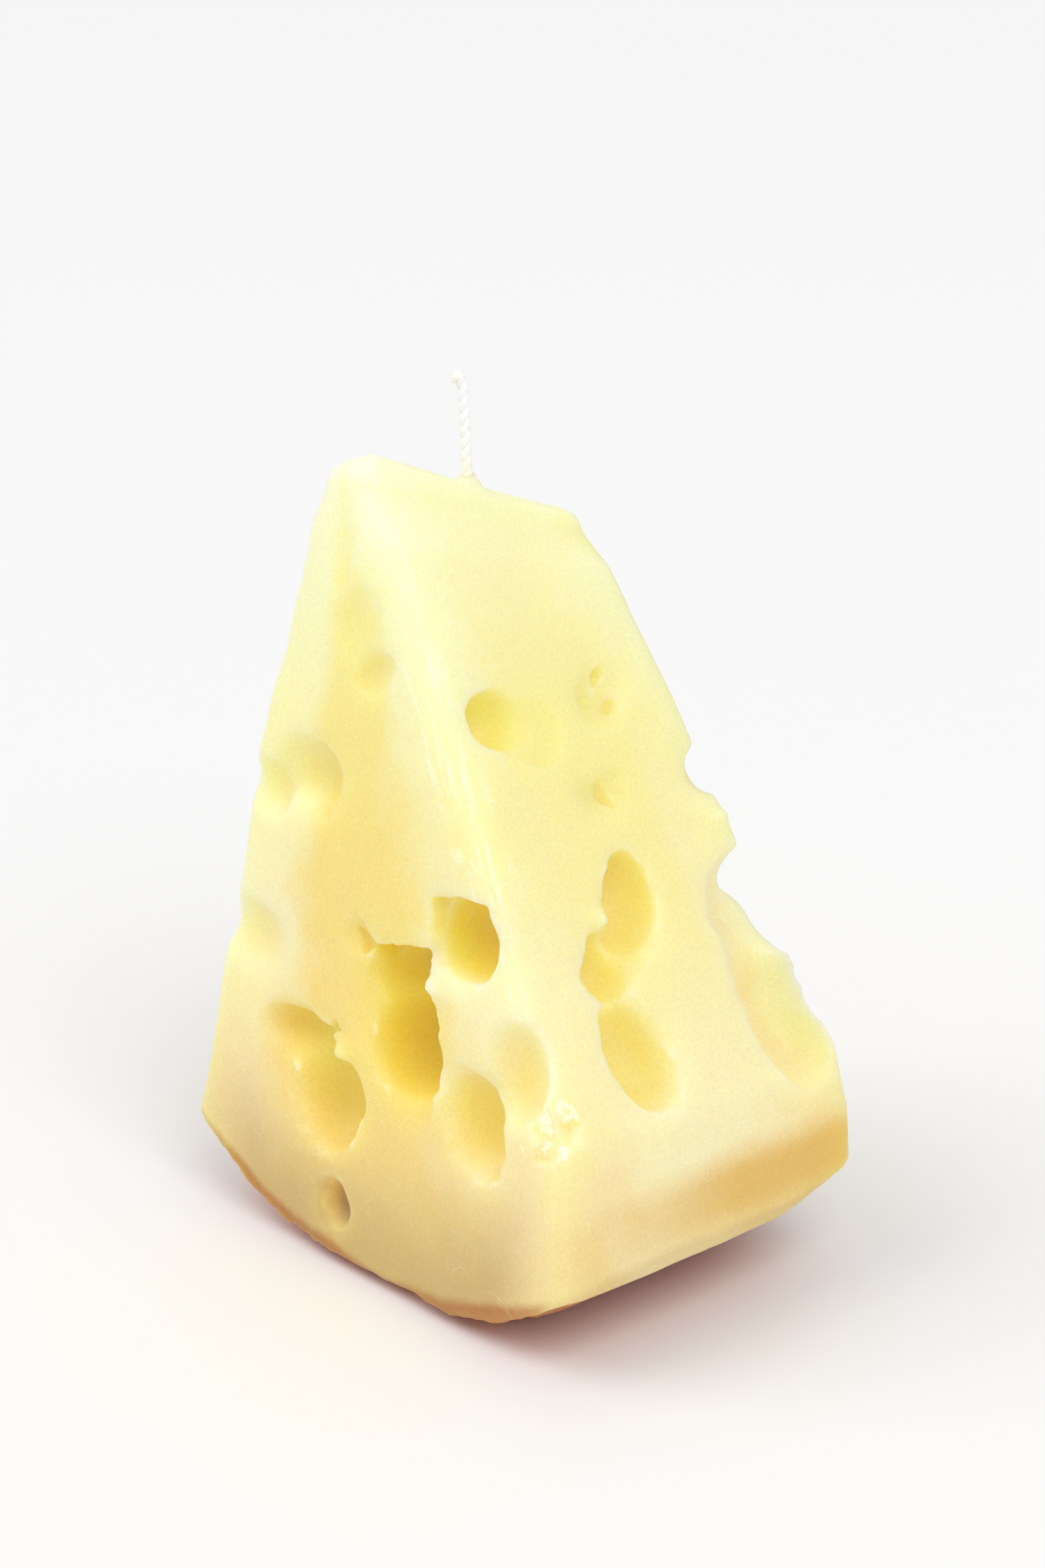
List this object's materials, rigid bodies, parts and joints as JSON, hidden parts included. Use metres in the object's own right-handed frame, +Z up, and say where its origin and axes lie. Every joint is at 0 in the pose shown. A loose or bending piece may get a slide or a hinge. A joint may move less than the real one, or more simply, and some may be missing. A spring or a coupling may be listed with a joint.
{
  "type": "cheese wedge candle",
  "caption": "Wax candle cast as a wedge of holey cheese, standing on its curved rind with the tip up and a short wick at the top.",
  "frame": {"origin": "on the table, under the middle of the bounding box", "axes": "+Z up to the tip; X across the curved rind; -Y out of the wheel's front face, +X out of the sloping cut face"},
  "size_m": [0.0788, 0.0562, 0.1248],
  "materials": {
    "wax": "waxy, slightly translucent, satin",
    "wick": "braided cotton, waxed"
  },
  "bodies": {
    "root": {"wax_wedge": "wax", "wick": "wick"}
  },
  "joints": []
}
